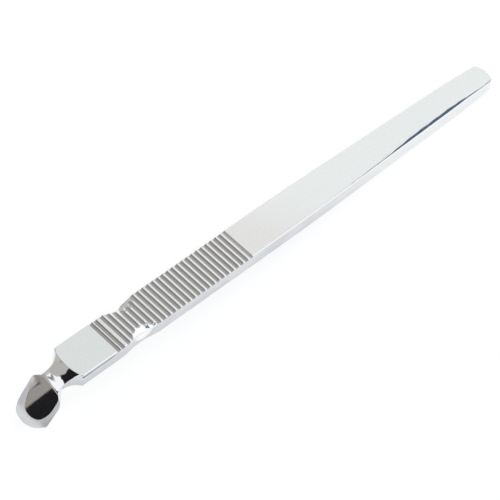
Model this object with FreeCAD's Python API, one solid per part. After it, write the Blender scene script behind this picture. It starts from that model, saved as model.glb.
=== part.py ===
"""Periosteal elevator: a one-piece polished steel hand instrument, in millimetres.

A flat bar forms the handle. It has a grooved grip with two finger scoops near its front, and
narrows to a rounded butt at its back. In front of the handle the bar is ground down to a waisted
neck and ends in a blade that is bent down, with a flat facet inside a wide bevel.

Frame: +X runs along the handle to the butt, +Y across it, +Z up. The origin is the middle of the
handle's flat back, so the back lies in the plane z = 0.
"""
import FreeCAD, Part
import os
from math import cos, radians, sin
from FreeCAD import Vector

# Handle
handle_length = 138.9
handle_width = 9.67
handle_thickness = 3.9
taper_start = 62.0              # distance from the front edge where the sides begin to close in
taper_middle = (93.0, 4.36)     # distance from the front edge, half width
taper_back = (122.0, 3.72)
butt_corner = (137.9, 2.98)
butt_turn = 0.09                # how fast each side closes in at the butt's corner
long_edge_radius = 0.35

# Grip grooves, cut across the top face
groove_pitch = 1.52
regular_groove_count = 26
first_regular_groove = 14.72    # distance from the front edge
leading_grooves = (11.65, 12.92)
groove_width = 0.88
groove_depth = 0.3
last_groove_depth = 0.16

# Finger scoops, ground by hand into the two sides of the grip: the -Y one is deeper and steepens
# on its way down. Each row is the side, distance from the front edge, slope across the bar in
# degrees below level, depth square to that slope at the bar's top corner, and radius along the bar.
scoops = [
    (-1, 19.6, 45.0, 1.75, 5.2),
    (-1, 19.4, 72.0, 1.43, 5.6),
    (1, 20.2, 24.0, 0.95, 7.6),
]

# The waist at each scoop, seen from above: distance from the front edge, half length, depth
notches = {-1: (18.9, 4.6, 0.55), 1: (18.3, 2.4, 0.75)}

# Neck
neck_half_width = 2.64
neck_side_radius = 4.5
neck_place = -2.84              # narrowest place, measured from the handle's front edge
handle_crown = 10.6             # radius of the crown across the neck's top, next to the handle
heel_crown = 44.0               # and at the heel, where its middle is off to one side
heel_crown_offset = 1.9
crown_change = (-0.5, -3.6)     # from the front edge: the crown changes between these
front_slope = 50.0              # degrees, where the neck's top leaves the handle's top face
heel_slope = 32.0
valley = (-2.5, -2.2)           # x from the front edge, z from the top face
heel = (-4.28, -3.05)           # where the neck's top meets the blade's facet
bend_radius = 4.0               # under the neck
neck_reach = 0.7                # how far the neck's bar runs back into the handle's

# Blade
blade_tilt = 52.3               # degrees below level
blade_thickness = 1.05
edge_thickness = 0.12
blade_length = 11.75            # along the blade, from the heel to the tip
blade_half_width = 4.9
blade_shoulders = {1: (1.3, 4.35), -1: (2.0, 4.3)}   # along the blade from the heel, half width
blade_corners = {1: (9.8, 4.3), -1: (8.6, 4.72)}     # the cutting edge is ground a little askew
facet_length = 9.0
facet_half_widths = {1: 3.15, -1: 3.97}
facet_shoulders = {1: (0.8, 2.95), -1: (1.2, 3.75)}
facet_corners = {1: (6.6, 2.85), -1: (6.2, 3.6)}
tip_offset = 0.9                # of the tip, across the blade
facet_tip_offset = 0.0
blade_root = -0.1               # where the blade's outlines close, inside the neck
facet_root_half_width = 2.85
edge_root_half_width = 2.7
neck_overlap = 1.2              # how far the neck's bar runs on into the blade

front_x = -handle_length / 2
back_x = handle_length / 2
top_z = handle_thickness
half_width = handle_width / 2

# Cutting bodies
beyond = 6.0                    # how far the large ones reach past the steel
overrun = 1.0                   # and the small ones
run_outs = (0.87, 1.73, 2.6)    # points where the neck's profile carries on past its ends
profile_points = 9              # along the neck's profile
crown_steps = 5                 # across each half of its crown
tiny = 1e-6


def line(start, end):
    return Part.LineSegment(start, end).toShape()


def arc(start, middle, end):
    return Part.Arc(start, middle, end).toShape()


def face(edges):
    return Part.Face(Part.Wire(Part.__sortEdges__(edges)))


def side_point(along, half, side):
    """A point of the handle's plan outline, from its distance behind the front edge."""
    return Vector(front_x + along, side * half, 0)


def taper_curve(side):
    """One side of the handle behind the grip: it leaves the parallel part smoothly."""
    places = [(taper_start, half_width), taper_middle, taper_back, butt_corner]
    curve = Part.BSplineCurve()
    curve.interpolate(
        Points=[side_point(along, half, side) for along, half in places],
        InitialTangent=Vector(1, 0, 0),
        FinalTangent=Vector(1, -side * butt_turn, 0),
    )
    return curve.toShape()


def handle_solid():
    """The handle's tapered bar, from just behind the neck to the butt."""
    edges = []
    fronts = [side_point(0, half_width, side) for side in (-1, 1)]
    corners = [side_point(butt_corner[0], butt_corner[1], side) for side in (-1, 1)]
    for side, front in zip((-1, 1), fronts):
        edges += [line(front, side_point(taper_start, half_width, side)), taper_curve(side)]
    edges.append(arc(corners[0], Vector(back_x, 0, 0), corners[1]))
    edges.append(line(fronts[0], fronts[1]))
    bar = face(edges).extrude(Vector(0, 0, handle_thickness))
    long_edges = []
    for edge in bar.Edges:
        box = edge.BoundBox
        if box.ZLength < tiny and box.XMax > front_x + tiny:
            long_edges.append(edge)
    return bar.makeFillet(long_edge_radius, long_edges)


def front_block():
    """The front end of the bar with the bent blade, seen from the side, at full width."""
    tilt = radians(blade_tilt)
    along = Vector(-cos(tilt), 0, -sin(tilt))
    normal = Vector(-sin(tilt), 0, cos(tilt))
    heel_point = Vector(front_x + heel[0], 0, top_z + heel[1])
    facet_top = heel_point - along * ((top_z - heel_point.z) / sin(tilt))
    facet_end = heel_point + along * (blade_length + overrun)
    under_end = facet_end - normal * blade_thickness
    bend = under_end + along * (under_end.z / sin(tilt))
    reach = bend_radius * sin(tilt / 2) / cos(tilt / 2)
    bend_low = bend + along * reach
    bend_back = bend + Vector(reach, 0, 0)
    centre = bend_back + Vector(0, 0, -bend_radius)
    middle = centre + Vector(-sin(tilt / 2), 0, cos(tilt / 2)) * bend_radius
    back = Vector(front_x + neck_reach, 0, 0)
    back_top = Vector(back.x, 0, top_z)
    edges = [
        line(back_top, facet_top),
        line(facet_top, facet_end),
        line(facet_end, under_end),
        line(under_end, bend_low),
        arc(bend_low, middle, bend_back),
        line(bend_back, back),
        line(back, back_top),
    ]
    block = face(edges).extrude(Vector(0, handle_width, 0))
    block.translate(Vector(0, -half_width, 0))
    return block, (heel_point, along, normal)


def neck_wheels():
    """The two upright grinding wheels' room that leaves the neck's waist, seen from above."""
    centre_y = neck_half_width + neck_side_radius
    neck_x = front_x + neck_place
    wheels = []
    for side in (-1, 1):
        foot = Vector(neck_x, side * centre_y, -2 * beyond)
        wheels.append(Part.makeCylinder(neck_side_radius, 4 * beyond, foot))
    return wheels


def blade_wire(place, offset, root_half, shoulders, corners, halves, tip):
    """An outline in the blade's plane, shifted down by offset, closed inside the neck."""
    heel_point, along, normal = place
    origin = heel_point - normal * offset
    across = Vector(0, 1, 0)

    def point(distance, y):
        return origin + along * distance + across * y

    edges = []
    for side, corner in corners.items():
        shoulder = shoulders[side]
        root = point(blade_root, side * root_half)
        start = point(shoulder[0], side * shoulder[1])
        middle = point((shoulder[0] + corner[0]) / 2, side * halves[side])
        end = point(corner[0], side * corner[1])
        edges += [line(root, start), arc(start, middle, end)]
    ends = [point(corners[side][0], side * corners[side][1]) for side in (-1, 1)]
    edges.append(arc(ends[0], point(tip[0], tip[1]), ends[1]))
    edges.append(line(point(blade_root, -root_half), point(blade_root, root_half)))
    return Part.Wire(Part.__sortEdges__(edges))


def blade_shape(place):
    """The blade's room: a facet inside a ruled bevel, over the plain outline."""
    drop = blade_thickness - edge_thickness
    halves = {side: blade_half_width for side in (-1, 1)}
    facet_tip = (facet_length, facet_tip_offset)
    tip = (blade_length, tip_offset)
    top = blade_wire(
        place, 0, facet_root_half_width, facet_shoulders, facet_corners, facet_half_widths, facet_tip
    )
    low = blade_wire(place, drop, edge_root_half_width, blade_shoulders, blade_corners, halves, tip)
    bevelled = Part.makeLoft([top, low], True, True)
    plain = Part.Face(low).extrude(place[2] * (-beyond))
    return bevelled.fuse(plain)


def neck_profile():
    """Points down the middle of the neck's top, from over the handle to in front of the heel."""
    start = Vector(front_x, 0, top_z)
    low = Vector(front_x + valley[0], 0, top_z + valley[1])
    end = Vector(front_x + heel[0], 0, top_z + heel[1])
    first = Vector(-cos(radians(front_slope)), 0, -sin(radians(front_slope)))
    last = Vector(-cos(radians(heel_slope)), 0, -sin(radians(heel_slope)))
    curve = Part.BSplineCurve()
    reach = (low - start).Length
    curve.interpolate(Points=[start, low, end], InitialTangent=first * reach, FinalTangent=last * reach)
    points = curve.discretize(profile_points)
    # it carries on straight past both ends, to clear the steel
    before = [start - first * distance for distance in reversed(run_outs)]
    after = [end + last * distance for distance in run_outs]
    return before + points + after


def neck_cutter():
    """Everything above the neck's crowned, hollow top."""
    rows = []
    for point in neck_profile():
        share = (point.x - front_x - crown_change[0]) / (crown_change[1] - crown_change[0])
        share = min(max(share, 0.0), 1.0)
        radius = handle_crown + (heel_crown - handle_crown) * share
        row = []
        for step in range(-crown_steps, crown_steps + 1):
            y = step * (half_width + overrun) / crown_steps
            drop = (y - heel_crown_offset * share) ** 2 / (2 * radius)
            row.append(Vector(point.x, y, point.z - drop))
        rows.append(row)
    surface = Part.BSplineSurface()
    surface.interpolate(rows)
    return surface.toShape().extrude(Vector(0, 0, 2 * beyond))


def groove_cutters():
    """Round-bottomed cutters, one for each groove."""
    places = [(place, groove_depth) for place in leading_grooves]
    for index in range(regular_groove_count):
        depth = groove_depth if index < regular_groove_count - 1 else last_groove_depth
        places.append((first_regular_groove + index * groove_pitch, depth))
    radius = (groove_width ** 2 / 4 + groove_depth ** 2) / (2 * groove_depth)
    cutters = []
    for place, depth in places:
        end = Vector(front_x + place, -half_width - overrun, top_z - depth + radius)
        cutters.append(Part.makeCylinder(radius, handle_width + 2 * overrun, end, Vector(0, 1, 0)))
    return cutters


def scoop_cutters():
    """The sloping hollows of the finger scoops and the waists in the bar's sides."""
    cutters = []
    for side, place, slope_degrees, scoop_depth, scoop_radius in scoops:
        slope = radians(slope_degrees)
        corner = Vector(front_x + place, side * half_width, top_z)
        out = Vector(0, side * sin(slope), cos(slope))
        down = Vector(0, side * cos(slope), -sin(slope))
        centre = corner + out * (scoop_radius - scoop_depth) - down * beyond
        cutters.append(Part.makeCylinder(scoop_radius, 2 * beyond, centre, down))
    for side, (place, half_length, depth) in notches.items():
        radius = (half_length ** 2 + depth ** 2) / (2 * depth)
        centre = Vector(front_x + place, side * (half_width - depth + radius), -overrun)
        cutters.append(Part.makeCylinder(radius, handle_thickness + 2 * overrun, centre))
    return cutters


def elevator_body():
    block, place = front_block()
    blade = block.common(blade_shape(place))
    neck_front = Vector(front_x + heel[0] - neck_overlap, -half_width, -beyond)
    neck_room = Part.makeBox(-heel[0] + beyond, handle_width, 3 * beyond, neck_front)
    neck = block.common(neck_room)
    body = handle_solid().fuse(neck)
    body = body.cut(neck_wheels())
    body = body.fuse(blade)
    body = body.cut(neck_cutter())
    for cutter in scoop_cutters():
        body = body.cut(cutter)
    body = body.cut(groove_cutters())
    return body.removeSplitter()


os.makedirs("parts", exist_ok=True)
body = elevator_body()
print("solids", len(body.Solids), "valid", body.isValid(), "volume", round(body.Volume, 2))
body.Solids[0].exportStep("parts/elevator_body.step")
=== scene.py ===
"""Looks of the periosteal elevator: one closed polished-steel mesh over the CAD body.

The mesh is worked out in millimetres from a level function of the instrument (below zero inside
the steel), in sections that run from the butt to the blade's tip, and written in metres.
Along the handle, s is the distance behind its front edge, so that the neck and the blade have s
below zero. On the blade, l is the distance from the heel, where the neck's top meets the facet.
The near side is the one with y below zero.
"""

import bpy
import math
import numpy as np
from mathutils import Matrix, Vector


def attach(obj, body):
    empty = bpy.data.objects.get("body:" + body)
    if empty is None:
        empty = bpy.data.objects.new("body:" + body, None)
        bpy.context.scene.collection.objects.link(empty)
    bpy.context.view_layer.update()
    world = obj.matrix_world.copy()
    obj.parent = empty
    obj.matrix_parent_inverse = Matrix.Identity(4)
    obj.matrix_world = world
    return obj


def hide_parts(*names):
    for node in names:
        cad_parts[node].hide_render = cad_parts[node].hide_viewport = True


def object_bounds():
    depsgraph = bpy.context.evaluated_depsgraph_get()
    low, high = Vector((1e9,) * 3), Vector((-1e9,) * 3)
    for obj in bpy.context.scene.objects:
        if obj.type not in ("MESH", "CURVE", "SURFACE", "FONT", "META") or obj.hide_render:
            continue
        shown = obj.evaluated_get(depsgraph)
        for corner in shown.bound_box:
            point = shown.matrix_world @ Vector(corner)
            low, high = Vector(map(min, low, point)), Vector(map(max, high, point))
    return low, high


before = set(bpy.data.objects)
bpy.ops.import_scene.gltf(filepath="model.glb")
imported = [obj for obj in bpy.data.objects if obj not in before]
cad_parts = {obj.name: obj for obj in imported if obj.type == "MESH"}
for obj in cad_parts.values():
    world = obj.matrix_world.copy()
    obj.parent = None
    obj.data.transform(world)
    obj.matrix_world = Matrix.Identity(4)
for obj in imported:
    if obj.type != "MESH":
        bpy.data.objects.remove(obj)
cad_low, cad_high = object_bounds()

# ---------------------------------------------------------------- sizes, in millimetres
# handle
length = 138.9
half_width = round(cad_high[1] * 1000, 3)
top_z = round(cad_high[2] * 1000, 2)
front_x = -length / 2
taper_start = 62.0
butt_radius = 4.94
butt_middle = length - butt_radius      # the centre of its arc
butt_corner = (137.9, 2.98)             # where the arc meets the sides: place, half width

# the near long edge is rolled over toward the butt
roll_width = 1.4
roll_lean = math.radians(9)

# neck
heel_place = (-4.28, -3.05)             # from the front edge, and from the top face
heel = (front_x + heel_place[0], top_z + heel_place[1])
saddle_radius = 10.6                    # of the crown across its top, next to the handle
heel_radius = 44.0                      # and at the heel, where its middle is off to one side
heel_offset = 1.9
waist_front = -5.48
wheel_radius, wheel_s, wheel_y = 4.5, -2.84, 7.14       # the grinding wheel that cut each waist

# blade
tilt = math.radians(52.3)               # below level
blade_thickness = 1.05
edge_thickness = 0.12
bevel_drop = blade_thickness - edge_thickness
bend_radius = 4.0                       # under the neck
along = (-math.cos(tilt), -math.sin(tilt))              # (x, z) down the blade
normal = (-math.sin(tilt), math.cos(tilt))              # (x, z) square to the blade's facet
bend_x = heel[0] - (blade_thickness + bend_radius - (bend_radius + heel[1]) * normal[1]) / normal[0]
bend_centre = (bend_x, -bend_radius)
bend_low = (bend_centre[0] + bend_radius * normal[0], bend_centre[1] + bend_radius * normal[1])

# grip: distances from the front edge and depths of the grooves
first_groove = 14.72                    # of the evenly spaced ones
groove_pitch, groove_width, groove_depth, last_groove_depth = 1.52, 0.88, 0.3, 0.16
even_grooves = 26
grooves = [(11.65, groove_depth), (12.92, groove_depth)]
grooves += [(first_groove + i * groove_pitch, groove_depth) for i in range(even_grooves)]
grooves[-1] = (grooves[-1][0], last_groove_depth)

# finger scoops: side, distance from the front edge, slope below level, depth, radius
scoops = [(-1, 19.6, 45.0, 1.75, 5.2), (-1, 19.4, 72.0, 1.43, 5.6), (1, 20.2, 24.0, 0.95, 7.6)]
notches = {-1: (18.9, 4.6, 0.55), 1: (18.3, 2.4, 0.75)}      # by side: place, half length, depth


# ---------------------------------------------------------------- curves
class Spline:
    """A cubic spline through points, with a set slope at each end, carried on straight past them."""

    def __init__(self, points, first, last):
        self.x, self.y = np.array(points, float).T
        count = len(self.x)
        gap = np.diff(self.x)
        rise = np.diff(self.y) / gap
        rows, right = np.eye(count), np.zeros(count)
        right[0], right[-1] = first, last
        for i in range(1, count - 1):
            rows[i, i - 1 : i + 2] = 1 / gap[i - 1], 2 / gap[i - 1] + 2 / gap[i], 1 / gap[i]
            right[i] = 3 * (rise[i - 1] / gap[i - 1] + rise[i] / gap[i])
        self.slope = np.linalg.solve(rows, right)

    def __call__(self, x):
        inside = np.clip(x, self.x[0], self.x[-1])
        i = np.clip(np.searchsorted(self.x, inside) - 1, 0, len(self.x) - 2)
        gap = self.x[i + 1] - self.x[i]
        t = (inside - self.x[i]) / gap
        value = (
            self.y[i] * (1 + 2 * t) * (1 - t) ** 2
            + self.slope[i] * gap * t * (1 - t) ** 2
            + self.y[i + 1] * t * t * (3 - 2 * t)
            - self.slope[i + 1] * gap * t * t * (1 - t)
        )
        before, after = np.minimum(x - self.x[0], 0), np.maximum(x - self.x[-1], 0)
        return value + self.slope[0] * before + self.slope[-1] * after


def step(x, low, high):
    """Goes smoothly from 0 to 1 while x goes from low to high."""
    t = np.clip((x - low) / (high - low), 0, 1)
    return t * t * (3 - 2 * t)


def meet(a, b, size):
    """The steel that is inside both a and b, with the edge between them rounded."""
    near = np.clip(1 - np.abs(a - b) / size, 0, 1)
    return np.maximum(a, b) + near * near * size / 4


# the handle's half width behind its front edge, and the fall of the neck's top in front of it
handle_side = Spline([(taper_start, half_width), (93.0, 4.36), (122.0, 3.72), butt_corner], 0.0, -0.09)
neck_top = Spline([heel_place, (-2.5, -2.2), (0.0, 0.0)], 0.62, 1.25)

# half widths of the blade's facet and of its cutting edge, by side and distance from the heel
facet_sides = {
    1: Spline([
        (-0.6, 1.2), (1.66, 1.58), (2.37, 2.01), (3.42, 2.52),
        (4.26, 2.86), (5.1, 3.0), (5.8, 2.95), (7.0, 2.65),
    ], 0.05, -0.3),
    -1: Spline([(0.9, 3.8), (2.0, 3.93), (4.0, 3.96), (5.0, 3.87), (5.8, 3.68), (6.8, 3.3)], 0.2, -0.45),
}
edge_sides = {
    1: Spline([
        (0.2, 3.1), (0.9, 3.9), (1.35, 4.33), (1.85, 4.6), (2.7, 4.72),
        (4.2, 4.8), (5.6, 4.8), (7.6, 4.7), (9.15, 4.5),
    ], 1.3, -0.2),
    -1: Spline([
        (0.9, 3.4), (1.4, 3.88), (1.9, 4.25), (2.6, 4.56),
        (3.2, 4.74), (3.9, 4.82), (6.7, 4.82), (8.8, 4.69),
    ], 1.0, -0.1),
}
# and how far down the blade the facet and the cutting edge reach, by place across the blade
facet_tip = Spline([
    (-3.3, 6.8), (-2.55, 7.9), (-1.7, 8.54), (0.0, 9.0), (1.3, 8.75), (2.2, 7.95), (2.7, 6.9),
], 1.9, -2.6)
edge_tip = Spline([
    (-4.69, 8.76), (-3.02, 10.32), (-0.97, 11.42), (0.9, 11.7), (2.74, 11.3), (3.9, 10.4), (4.3, 9.7),
], 1.0, -1.9)
spread = np.linspace(-3, 3, 3001)
tip_end, tip_y = edge_tip(spread).max(), spread[edge_tip(spread).argmax()]


# ---------------------------------------------------------------- the steel's level function
# Each level is the signed distance to one surface of the instrument, or nearly so: the plain
# factors on some of them make up for how steep they are. Points are in the part's frame.
def handle_levels(s, y, z):
    """The top face, its rolled near edge, and the handle's outline seen from above."""
    half = handle_side(np.maximum(s, taper_start))
    rolled = roll_width * step(s, 84, 112) * (1 - 0.7 * step(s, 122, 138))
    rolled = rolled + 0.05 * np.sin(s * 1.3) + 0.02 * np.sin(s * 3.1)     # it was done by hand
    roll = (-y - half + rolled) * math.sin(roll_lean) + (z - top_z) * math.cos(roll_lean)
    slab = np.abs(y) - half
    butt = np.where(s > butt_middle, np.hypot(s - butt_middle, y) - butt_radius, slab - 1)
    return {"top": z - top_z, "roll": roll, "side": meet(slab, butt, 0.15)}


def neck_levels(s, y, z):
    """The neck's hollow, crowned top, and its waist between the two grinding wheels' rooms."""
    at_heel = step(-s, 0.5, 3.6)
    crown = saddle_radius + at_heel * (heel_radius - saddle_radius)
    saddle = (z - top_z - neck_top(s) + (y - heel_offset * at_heel) ** 2 / (2 * crown)) * 0.75
    wheel = wheel_radius - np.hypot(s - wheel_s, np.abs(y) - wheel_y)
    return {"saddle": saddle, "waist": np.maximum(wheel, waist_front - s)}


def blade_levels(u, l, y):
    """The facet, the bevel round it and the outline. u is the height over the facet's plane."""
    # the facet is a little crowned, and has a slight lean on its far side
    off = y + 1.7 - 0.34 * np.clip(l, 0, 9)
    facet = u + 0.011 * np.minimum(off, 1.0) ** 2 + 0.022 * np.maximum(off - 1.0, 0)
    facet_half = np.where(y < 0, facet_sides[-1](l), facet_sides[1](l))
    edge_half = np.where(y < 0, edge_sides[-1](l), edge_sides[1](l))
    tip_facet, tip_edge = (l - facet_tip(y)) * 0.8, (l - edge_tip(y)) * 0.8
    # how far across the bevel: 0 at the facet's outline, 1 at the cutting edge
    over_side = (np.abs(y) - facet_half) / np.maximum(edge_half - facet_half, 0.3)
    over_tip = tip_facet / np.maximum(tip_facet - tip_edge, 0.5)
    over = meet(over_side, over_tip, 0.25)
    near_drop = np.clip(1.07 * (edge_half - facet_half), 0.05, bevel_drop)
    drop = np.where(y < 0, near_drop, bevel_drop * (0.15 + 0.85 * step(l, 0.6, 5.2)))
    bevel = np.where(l > -0.6, (u + drop * over) * 0.85, -9.0)
    outline = np.maximum(meet(np.abs(y) - edge_half, tip_edge, 0.3), -(l + 0.1))
    return {"facet": facet, "bevel": bevel, "outline": outline}


def under_level(x, z, u):
    """The flat back of the handle, the bend under the neck and the back of the blade."""
    bend = bend_radius - np.hypot(x - bend_centre[0], z - bend_centre[1])
    past = (x - bend_low[0]) * along[0] + (z - bend_low[1]) * along[1]
    front = np.where(past > 0, -(u + blade_thickness), bend)
    return np.where(x > bend_centre[0], -z, front)


# each groove's place, its radius, and the height of its centre over the top face
groove_table = np.array([
    (place, (groove_width**2 / 4 + deep**2) / (2 * deep), (groove_width**2 / 4 - deep**2) / (2 * deep))
    for place, deep in grooves
]).T
groove_bounds = (groove_table[0, 1:] + groove_table[0, :-1]) / 2


def groove_level(s, z):
    """The nearest of the round-bottomed grooves."""
    place, radius, rise = groove_table[:, np.searchsorted(groove_bounds, s)]
    return radius - np.hypot(s - place, z - top_z - rise)


def hollow_levels(s, y, z):
    """The finger scoops, and after them the waist that each side has there."""
    hollows = []
    for side, place, slope, deep, radius in scoops:
        slope = math.radians(slope)
        out = (y - side * half_width) * side * math.sin(slope) + (z - top_z) * math.cos(slope)
        hollows.append(radius - np.hypot(s - place, out - (radius - deep)))
    for side, (place, half, deep) in notches.items():
        radius = (half**2 + deep**2) / (2 * deep)
        hollows.append(radius - np.hypot(s - place, y - side * (half_width - deep + radius)))
    return hollows


def surfaces(x, y, z):
    """The places s and l of points, each surface's level there, and those of the hollows."""
    s = x - front_x
    u = (x - heel[0]) * normal[0] + (z - heel[1]) * normal[1]
    l = (x - heel[0]) * along[0] + (z - heel[1]) * along[1]
    part = {**handle_levels(s, y, z), **neck_levels(s, y, z), **blade_levels(u, l, y)}
    part["front"] = np.minimum(part["waist"], part["outline"])
    part["under"] = under_level(x, z, u)
    part["groove"] = groove_level(s, z)
    return s, l, part, hollow_levels(s, y, z)


def level(x, y, z):
    """The whole instrument: all its surfaces, with the edges between them rounded."""
    s, l, part, hollows = surfaces(x, y, z)
    on_handle = step(s, -1.5, 2.5)
    near_edge = 0.4 + 0.15 * step(s, 60, 90) - 0.35 * step(s, 128, 137)
    edge_size = 0.06 + on_handle * np.where(y < 0, near_edge, 0.12)
    # the neck's far edge is rounder next to the handle
    edge_size = edge_size + np.where(y > 0, 0.5 * step(s, -3.0, -1.0) * (1 - on_handle), 0)
    upper = meet(part["top"], part["saddle"], 0.1)
    upper = meet(upper, part["facet"], 0.07)
    upper = meet(upper, part["bevel"], 0.06)
    upper = meet(upper, part["groove"], 0.09)
    upper = meet(upper, part["roll"], 0.1)
    body = meet(upper, meet(part["side"], part["front"], 0.12), edge_size)
    for hollow in hollows:
        body = meet(body, hollow, 0.4)
    return meet(body, part["under"], 0.05 + on_handle * 0.35)


# ---------------------------------------------------------------- sections along the instrument
def stations():
    """Where the sections stand: base point (x, z), upward direction (x, z), middle (y, height)."""
    corner = math.asin(butt_corner[1] / butt_radius)
    places = [butt_middle + butt_radius * math.cos(a) for a in np.linspace(0.006, corner, 44)]
    places += list(np.linspace(butt_corner[0], 54.0, 94)[1:-1])
    offsets = (0.58, 0.5, 0.46, 0.42, 0.36, 0.26, 0.13)     # closest together at a groove's edges
    for i in range(len(grooves) - 1, -1, -1):
        place = grooves[i][0]
        places += [place + d for d in offsets] + [place] + [place - d for d in offsets[::-1]]
        if i:
            places.append((place + grooves[i - 1][0]) / 2)
    places += list(np.linspace(grooves[0][0] - offsets[0], 2.0, 32)[1:])
    places += list(np.linspace(2.0, bend_centre[0] - front_x, 46)[1:])
    rows = [(front_x + s, 0.0, 0.0, 1.0, 0.0, 1.9 if s > -1 else 1.2) for s in places]
    # the sections turn with the bend, and then stand square to the blade
    for angle in np.linspace(0, tilt, 64)[1:]:
        way = (-math.sin(angle), math.cos(angle))
        base = (bend_centre[0] + bend_radius * way[0], bend_centre[1] + bend_radius * way[1])
        rows.append((*base, *way, 0.0, 0.5))
    first = (bend_low[0] - heel[0]) * along[0] + (bend_low[1] - heel[1]) * along[1]
    blade = list(np.linspace(first, 7.0, 46)[1:])
    blade += [7.0 + (tip_end - 7.0) * math.sin(a) for a in np.linspace(0, math.pi / 2 - 0.02, 66)[1:]]
    for l in blade:
        base = (bend_low[0] + (l - first) * along[0], bend_low[1] + (l - first) * along[1])
        middle = tip_y * float(step(l, 4.0, 10.0))
        height = edge_thickness + bevel_drop * min(1.0, (tip_end - l) / 2.9)
        rows.append((*base, *normal, middle, 0.45 * height))
    return np.array(rows)


def reach(rows, y, height, dy, dh, far, steps=20):
    """How far each ray goes from inside the steel to its surface, by halving."""
    low = np.zeros(np.broadcast(y, dy).shape)
    high = np.broadcast_to(far, low.shape).copy()
    base_x, base_z, up_x, up_z = (rows[:, i : i + 1] for i in range(4))
    for _ in range(steps):
        middle = (low + high) / 2
        h = height + middle * dh
        inside = level(base_x + h * up_x, y + middle * dy, base_z + h * up_z) < 0
        low, high = np.where(inside, middle, low), np.where(inside, high, middle)
    return (low + high) / 2


def shares_by_shape(y, h, around):
    """Shares of the way round each section, closer together where its outline bends."""
    dy, dh = np.diff(y, axis=1), np.diff(h, axis=1)
    run = np.hypot(dy, dh)
    heading = np.unwrap(np.arctan2(dh, dy), axis=1)
    bend = np.abs(np.diff(heading, axis=1, append=heading[:, :1] + 2 * math.pi))
    bend = np.minimum(bend, 1.6)
    kernel = np.array([1, 2, 3, 2, 1]) / 9

    def smoothed(row):
        return np.convolve(np.concatenate([row[-2:], row, row[:2]]), kernel, "valid")

    bend = np.apply_along_axis(smoothed, 1, bend)
    weight = run + bend * 0.2 * run.sum(1, keepdims=True) / (2 * math.pi)
    measure = np.concatenate([np.zeros((len(y), 1)), np.cumsum(weight, axis=1)], axis=1)
    measure /= measure[:, -1:]
    even = np.linspace(0, 1, measure.shape[1])
    return np.stack([np.interp(np.arange(around) / around, row, even) for row in measure])


def section_faces(count, around):
    """Quads between neighbouring sections, and a fan of triangles over each end."""
    i, j = np.meshgrid(np.arange(count - 1), np.arange(around), indexing="ij")
    k = (j + 1) % around
    quads = [i * around + j, (i + 1) * around + j, (i + 1) * around + k, i * around + k]
    faces = np.stack(quads, -1).reshape(-1, 4).tolist()
    last = (count - 1) * around
    for a in range(around):
        b = (a + 1) % around
        faces.append([count * around, a, b])
        faces.append([count * around + 1, last + b, last + a])
    return faces


def steel_mesh(around=168, rays=360):
    """The instrument's points, in millimetres, and its faces."""
    rows = stations()
    middle_y, inside = rows[:, 4:5], rows[:, 5:6]
    zero = np.zeros_like(inside)
    roof = inside + reach(rows, middle_y, inside, zero, zero + 1, 8.0)
    centre = roof / 2
    right = reach(rows, middle_y, centre, zero + 1, zero, 9.0)
    left = reach(rows, middle_y, centre, zero - 1, zero, 9.0)
    # the rays leave a level bar inside the section: up and down along it, fanned round its ends
    margin = np.minimum(np.minimum(left, right) * 0.9, centre)
    ends = (middle_y - left + margin, middle_y + right - margin)
    span = ends[1] - ends[0]
    total = 2 * span + 2 * math.pi * margin

    def cast(share):
        """The section's points at shares 0..1 of the way round, from the lower left."""
        way = share * total
        turn = math.pi * margin
        bottom = np.clip(way, 0, span)
        first = np.clip(way - span, 0, turn) / margin
        top = np.clip(way - span - turn, 0, span)
        second = np.clip(way - 2 * span - turn, 0, turn) / margin
        y = ends[0] + bottom - top
        angle = -math.pi / 2 + first + second
        dy, dh = np.cos(angle), np.sin(angle)
        distance = reach(rows, y, centre, dy, dh, 9.0)
        return y + distance * dy, centre + distance * dh

    y, h = cast(np.repeat(np.linspace(0, 1, rays + 1)[None, :], len(rows), 0))
    y, h = cast(shares_by_shape(y, h, around))
    x = rows[:, 0:1] + h * rows[:, 2:3]
    z = rows[:, 1:2] + h * rows[:, 3:4]
    points = np.stack([x, y, z], axis=-1).reshape(-1, 3)
    caps = np.stack([points[:around].mean(0), points[-around:].mean(0)])
    return np.concatenate([points, caps]), section_faces(len(rows), around)


def slopes(points, gap=0.004):
    """The level function's outward direction at each point."""
    x, y, z = points.T
    grad = np.stack([
        level(x + gap, y, z) - level(x - gap, y, z),
        level(x, y + gap, z) - level(x, y - gap, z),
        level(x, y, z + gap) - level(x, y, z - gap),
    ], -1)
    return grad / np.linalg.norm(grad, axis=1, keepdims=True)


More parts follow.
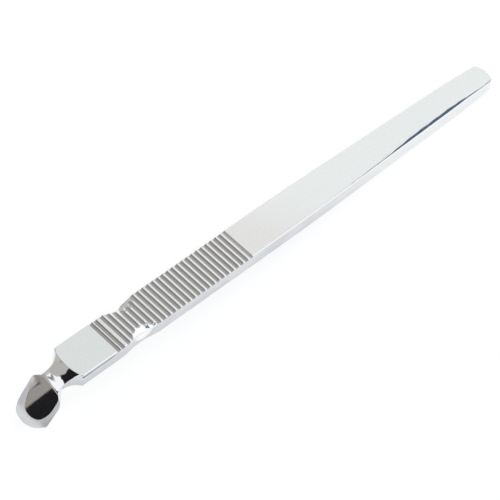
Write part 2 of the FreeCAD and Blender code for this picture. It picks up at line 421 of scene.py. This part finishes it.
# ---------------------------------------------------------------- finishes of the steel's areas, and light and shade painted on them
def finish_masks(points):
    """How much of each finish, and of painted shade, highlight and dark reflections, every point of the
    surface has.
    """
    s, l, part, hollows = surfaces(*points.T)
    near, below_top = points[:, 1] < 0, top_z - points[:, 2]
    bar = np.max([part["top"], part["side"], part["under"], *hollows], axis=0)
    on_bevel = part["bevel"] > -0.15
    past_facet = part["bevel"] - part["facet"]
    past_top = np.maximum(part["side"], part["front"]) - np.maximum(part["top"], part["saddle"])
    near_scoop = np.maximum(hollows[0], hollows[1])
    # satin, with less of it next to the far side of the neck and toward the tip
    bevel = step(past_facet, -0.04, 0.02) * on_bevel * (1 - 0.45 * step(l, 8.0, 10.2))
    bevel = bevel * np.where(near, 1, 0.35 + 0.65 * step(l, 0.5, 4.0))
    # painted shade on the bar's flanks, in patches: in front, and most of all low down, for the floor's
    # shade that they mirror
    flank_shade = step(past_top, -0.1, 0.1) * (1 - step(s, 58, 112)) * (0.75 + 0.35 * step(below_top, 0.4, 3.4))
    flank_shade = flank_shade * (near_scoop < -0.12) * (s > -3)
    # painted shade along the crease between the facet and the bevel on its far side
    facet_crease_shade = np.clip(1 - np.abs(past_facet + 0.012) / 0.035, 0, 1) * on_bevel
    facet_crease_shade = facet_crease_shade * ~near * step(l, 1.0, 2.2) * (1 - step(l, 5.0, 8.5))
    # a painted dark reflection on the near side face just under the top's edge, which fades away behind the
    # front corner
    front_edge_reflection = np.clip(2.0 - np.abs(below_top - 0.56) / 0.16, 0, 1) * (part["side"] > -0.2) * near
    front_edge_reflection = front_edge_reflection * (s > -0.3) * (1 - 0.25 * step(s, 1, 5)) * (1 - step(s, 9, 12))
    # and a painted dark reflection round the butt's top edge
    butt_edge_reflection = 0.6 * (below_top < 0.13) * (part["side"] > -0.1) * step(s, 134, 136)
    return {
        "handle": step(s, 0.0, 1.0),
        # the grooves: their milled finish, with painted shade in their hollows
        "groove": step(part["groove"] - bar, -0.03, 0.02),
        "bevel": bevel,
        "flank_shade": flank_shade,
        # the near scoop, which is made whiter: a painted highlight
        "scoop": step(near_scoop, -0.1, 0.0),
        "painted_dark_lines": facet_crease_shade + front_edge_reflection + butt_edge_reflection,
    }


# ---------------------------------------------------------------- node trees
class Tree:
    """Adds nodes to a node tree. A value may be a plain one or another node's output."""

    def __init__(self, owner):
        owner.use_nodes = True
        self.nodes, self.links = owner.node_tree.nodes, owner.node_tree.links

    def link(self, value, socket):
        if isinstance(value, bpy.types.NodeSocket):
            self.links.new(value, socket)
        else:
            socket.default_value = value

    def maths(self, operation, *values):
        node = self.nodes.new("ShaderNodeMath")
        node.operation = operation
        for value, socket in zip(values, node.inputs):
            self.link(value, socket)
        return node.outputs[0]

    def ramp(self, value, low, high, start=0.0, end=1.0):
        """Goes smoothly from start to end while the value goes from low to high."""
        node = self.nodes.new("ShaderNodeMapRange")
        node.interpolation_type = "SMOOTHSTEP"
        self.link(value, node.inputs["Value"])
        for name, number in zip(("From Min", "From Max", "To Min", "To Max"), (low, high, start, end)):
            self.link(number, node.inputs[name])
        return node.outputs["Result"]

    def mix(self, share, a, b):
        """The colour a with a share of the colour b over it."""
        node = self.nodes.new("ShaderNodeMix")
        node.data_type = "RGBA"
        self.link(share, node.inputs[0])
        for colour, socket in ((a, node.inputs[6]), (b, node.inputs[7])):
            self.link((*colour, 1) if isinstance(colour, tuple) else colour, socket)
        return node.outputs[2]

    def noise(self, scale, stretch=(1, 1, 1), detail=3.0):
        """Noise over the steel itself, drawn out along an axis where stretch is small."""
        place = self.nodes.new("ShaderNodeMapping")
        self.link(self.nodes.new("ShaderNodeTexCoord").outputs["Object"], place.inputs["Vector"])
        place.inputs["Scale"].default_value = stretch
        node = self.nodes.new("ShaderNodeTexNoise")
        self.link(place.outputs[0], node.inputs["Vector"])
        node.inputs["Scale"].default_value = scale
        node.inputs["Detail"].default_value = detail
        return node.outputs["Fac"]

    def mask(self, name):
        node = self.nodes.new("ShaderNodeAttribute")
        node.attribute_name = name
        return node.outputs["Fac"]


# ---------------------------------------------------------------- materials
def polished_steel():
    """Mirror steel with faint mottling and brush marks, a duller tint on the satin bevel, and painted shade,
    a painted highlight and painted dark reflections from the other masks.
    """
    made = bpy.data.materials.new("polished_steel")
    tree = Tree(made)
    shader = tree.nodes["Principled BSDF"]
    shader.inputs["Metallic"].default_value = 1.0
    groove, bevel = tree.mask("groove"), tree.mask("bevel")
    mottle = tree.noise(2600, detail=4.0)
    brush = tree.noise(1400, (0.06, 1, 1))
    shade_patches = tree.ramp(tree.noise(330, (0.45, 1, 1)), 0.35, 0.65, 0.65, 1.0)
    colour = tree.mix(tree.ramp(mottle, 0.3, 0.7), (0.795, 0.805, 0.81), (0.83, 0.84, 0.845))
    for share, tint in (
        (bevel, (0.51, 0.51, 0.525)),
        # painted shade on the bar's flanks, patchy, darkest in front and low down
        (tree.maths("MULTIPLY", tree.mask("flank_shade"), shade_patches), (0.58, 0.595, 0.62)),
        # the grooves are darker: partly their milled finish, partly painted shade in their hollows
        (groove, (0.45, 0.44, 0.43)),
        # painted highlight: the near scoop's steel is made whiter than the rest
        (tree.mask("scoop"), (0.96, 0.965, 0.97)),
        # painted shade and painted dark reflections, in thin lines
        (tree.maths("MULTIPLY", tree.mask("painted_dark_lines"), 0.9), (0.06, 0.055, 0.06)),
    ):
        colour = tree.mix(share, colour, tint)
    tree.link(colour, shader.inputs["Base Color"])
    rough = tree.maths("ADD", tree.ramp(brush, 0.25, 0.75, 0.03, 0.08), tree.maths("MULTIPLY", groove, 0.35))
    rough = tree.maths("ADD", rough, tree.maths("MULTIPLY", bevel, 0.28))
    tree.link(rough, shader.inputs["Roughness"])
    bump = tree.nodes.new("ShaderNodeBump")
    bump.inputs["Distance"].default_value = 0.00001
    tree.link(brush, bump.inputs["Height"])
    tree.link(tree.maths("MULTIPLY", tree.mask("handle"), 0.04), bump.inputs["Strength"])
    tree.link(bump.outputs[0], shader.inputs["Normal"])
    return made


def floor_white():
    """A matt white that glows a little, so that the floor stays white in this even light."""
    made = bpy.data.materials.new("floor_white")
    shader = Tree(made).nodes["Principled BSDF"]
    shader.inputs["Base Color"].default_value = (0.5, 0.5, 0.5, 1)
    shader.inputs["Roughness"].default_value = 1.0
    shader.inputs["Specular IOR Level"].default_value = 0.0
    shader.inputs["Emission Color"].default_value = (1, 1, 1, 1)
    shader.inputs["Emission Strength"].default_value = 0.66
    return made


# ---------------------------------------------------------------- the instrument
points, faces = steel_mesh()
mesh = bpy.data.meshes.new("elevator_steel")
mesh.from_pydata((points * 0.001).tolist(), [], faces)
mesh.update()
mesh.polygons.foreach_set("use_smooth", [True] * len(mesh.polygons))
steel = bpy.data.objects.new("elevator_steel", mesh)
bpy.context.scene.collection.objects.link(steel)
mesh.normals_split_custom_set_from_vertices(slopes(points).tolist())
for name, value in finish_masks(points).items():
    attribute = mesh.attributes.new(name, "FLOAT", "POINT")
    attribute.data.foreach_set("value", value)
mesh.materials.append(polished_steel())
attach(steel, "root")
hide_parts("elevator_body")


# ---------------------------------------------------------------- floor
# the butt and the blade's tip both touch it
fall = math.atan2(-cad_low[2], cad_high[0] - cad_low[0])
bpy.ops.mesh.primitive_plane_add(size=6.0)
floor = bpy.context.object
floor.name = "floor"
floor.rotation_euler = (0, -fall, 0)
floor.location = (0, 0, -0.0001 - cad_high[0] * math.tan(fall))
floor.data.materials.append(floor_white())


# ---------------------------------------------------------------- room
# What the steel mirrors is one bright, even light with soft-edged areas in it, each over the ones
# before: colour, middle azimuth, half width, low edge, high edge, how much each of those two rises
# with a degree of azimuth, and softness, all in degrees but the colour.
bright = (1.12, 1.13, 1.15)
room = [
    # a grey ceiling on the camera's side, which other views mirror in the top face
    ((0.58, 0.60, 0.63), 250, 48, 40, 78, 0, 0, 10),
    # in the top face: duller over its front, whitest over the bare handle, duller round the last groove
    ((0.86, 0.88, 0.87), 45, 28, 52.5, 66, 0, 0, 2),
    ((0.99, 1.01, 1.0), 35, 22, 40, 49.5, 0, 0, 3),
    ((0.92, 0.91, 0.89), 36, 12, 50.4, 51.2, 0, 0, 0.8),
    # tan in the neck's far side, the far bevel, the far scoop and the grooves
    ((0.60, 0.58, 0.55), 104, 52, -10, 72, 0, -0.5, 1),
    # brown in the far half of the facet
    ((0.36, 0.335, 0.31), 152.5, 5, -10, 14, 0, 0, 4),
    # black in the near half of the facet and the near corner of the neck
    ((0.014, 0.014, 0.016), 173.5, 17.6, -10, 48, 0, -0.3, 0.6),
    ((0.014, 0.014, 0.016), 165, 6, 40, 74, 0, 0, 0.8),
    # tan again down the middle of the neck and in the grooves
    ((0.545, 0.525, 0.495), 148, 15, 15, 53, 0, -1.54, 1),
    # white across the bottom of the neck, with a dark fleck in it
    ((1.12, 1.13, 1.15), 147.5, 10, 55, 75, -0.38, 0, 1.5),
    ((0.22, 0.24, 0.28), 133, 1.6, 60.5, 63.5, 0, 0, 1.2),
    # dark blue low on the camera's side: in the grooves' near ends, then three in the near scoop
    ((0.05, 0.08, 0.16), 219, 18, 5, 26, 0, 0, 1.5),
    ((0.05, 0.07, 0.12), 269, 2.5, 18, 32, 0, 0, 1),
    ((0.20, 0.31, 0.50), 261, 5, 18, 32, 0, 0, 1),
    ((0.05, 0.08, 0.14), 258, 3, 12, 26.5, 0, 0, 1),
    # dark blue in the rolled near edge
    ((0.10, 0.14, 0.22), 5, 12, 44, 55, 0, 0, 1),
]


def studio(areas):
    """A world lit by the bright colour, with the areas in it."""
    world = bpy.data.worlds.new("studio")
    tree = Tree(world)
    apart = tree.nodes.new("ShaderNodeSeparateXYZ")
    tree.link(tree.nodes.new("ShaderNodeTexCoord").outputs["Generated"], apart.inputs[0])
    degrees = 180 / math.pi
    turn = tree.maths("MULTIPLY", tree.maths("ARCTAN2", apart.outputs[1], apart.outputs[0]), degrees)
    height = tree.maths("MULTIPLY", tree.maths("ARCSINE", apart.outputs[2]), degrees)
    light = bright
    for colour, middle, half, low, high, low_lean, high_lean, soft in areas:
        aside = tree.maths("WRAP", tree.maths("SUBTRACT", turn, middle), 180, -180)
        over_low = tree.maths("SUBTRACT", height, tree.maths("MULTIPLY", aside, low_lean))
        over_high = tree.maths("SUBTRACT", height, tree.maths("MULTIPLY", aside, high_lean))
        share = tree.ramp(tree.maths("ABSOLUTE", aside), half, half + soft, 1.0, 0.0)
        share = tree.maths("MULTIPLY", share, tree.ramp(over_high, high, high + soft, 1.0, 0.0))
        share = tree.maths("MULTIPLY", share, tree.ramp(over_low, low - soft, low))
        light = tree.mix(share, light, colour)
    background = tree.nodes["Background"]
    tree.link(light, background.inputs["Color"])
    background.inputs["Strength"].default_value = 1.0
    return world


scene = bpy.context.scene
scene.world = studio(room)
scene.view_settings.view_transform = "Standard"


# ---------------------------------------------------------------- camera
lens = bpy.data.cameras.new("camera")
lens.sensor_width = 36.0
lens.lens = 180.13
lens.clip_start, lens.clip_end = 0.01, 20.0
camera = bpy.data.objects.new("camera", lens)
scene.collection.objects.link(camera)
scene.camera = camera
camera.location = (-0.30568, -0.21321, 0.44503)
ahead = Vector((0.51048, 0.36996, -0.77623))
upward = Vector((0.49410, 0.61260, 0.61692))
rightward = ahead.cross(upward).normalized()
camera.rotation_mode = "QUATERNION"
camera.rotation_quaternion = Matrix((rightward, upward, -ahead)).transposed().to_quaternion()
